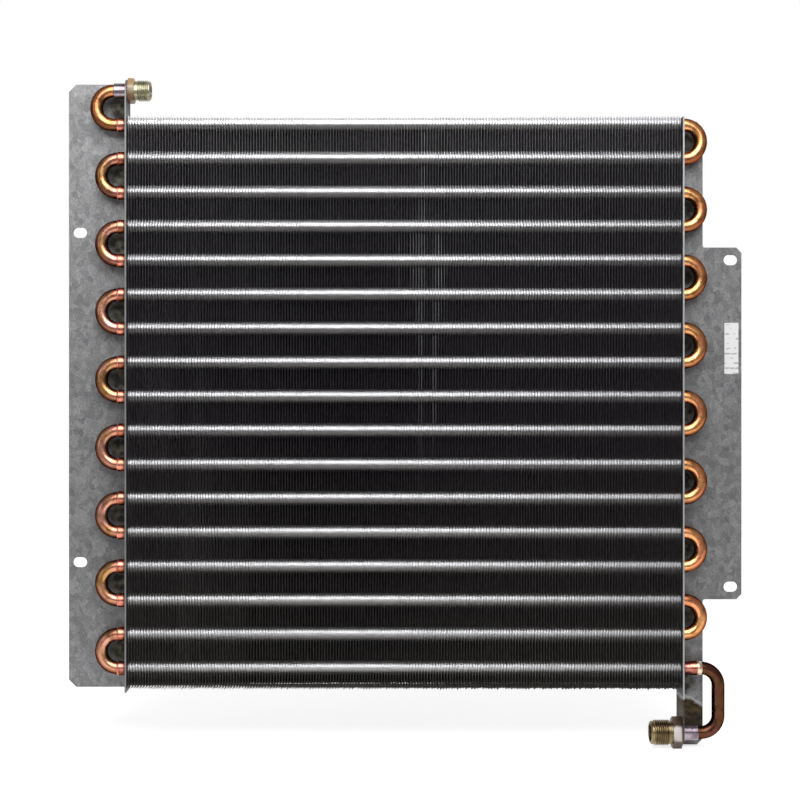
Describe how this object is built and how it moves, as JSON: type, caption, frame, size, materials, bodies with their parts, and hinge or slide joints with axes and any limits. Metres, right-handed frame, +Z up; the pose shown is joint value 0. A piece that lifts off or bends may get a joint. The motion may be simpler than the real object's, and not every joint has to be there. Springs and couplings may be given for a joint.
{
  "type": "air conditioning condenser",
  "caption": "Plate-fin and copper tube condenser in one upright row, with hairpin and return bends, folded steel end plates and two threaded pipe fittings.",
  "frame": {"origin": "on the rear mounting face of the left flange, midway between its two slots", "axes": "+X from the left end plate to the right one along the tubes, +Y to the back, out of the mounting faces, +Z up"},
  "size_m": [0.5082, 0.0254, 0.5008],
  "materials": {
    "galvanised_sheet": "dull mottled zinc",
    "fin_aluminium": "bare mill finish",
    "copper_tube": "bright drawn copper, heat-tinted near the brazed joints",
    "fitting_brass": "dull machined brass",
    "braze_metal": "as-flowed filler metal"
  },
  "bodies": {
    "root": {"bend_braze_rings_1": "braze_metal", "bend_braze_rings_2": "braze_metal", "bend_braze_rings_3": "braze_metal", "bend_braze_rings_4": "braze_metal", "bend_braze_rings_5": "braze_metal", "bend_braze_rings_6": "braze_metal", "bend_braze_rings_7": "braze_metal", "bend_braze_rings_8": "braze_metal", "fin_pack": "fin_aluminium", "hairpin_tube_1": "copper_tube", "hairpin_tube_2": "copper_tube", "hairpin_tube_3": "copper_tube", "hairpin_tube_4": "copper_tube", "hairpin_tube_5": "copper_tube", "hairpin_tube_6": "copper_tube", "hairpin_tube_7": "copper_tube", "hairpin_tube_8": "copper_tube", "left_end_plate": "galvanised_sheet", "lower_braze_ring": "braze_metal", "lower_fitting": "fitting_brass", "lower_pipe": "copper_tube", "return_bend_1": "copper_tube", "return_bend_2": "copper_tube", "return_bend_3": "copper_tube", "return_bend_4": "copper_tube", "return_bend_5": "copper_tube", "return_bend_6": "copper_tube", "return_bend_7": "copper_tube", "return_bend_8": "copper_tube", "right_end_plate": "galvanised_sheet", "straight_tube": "copper_tube", "upper_braze_ring": "braze_metal", "upper_fitting": "fitting_brass", "upper_pipe": "copper_tube"}
  },
  "joints": []
}
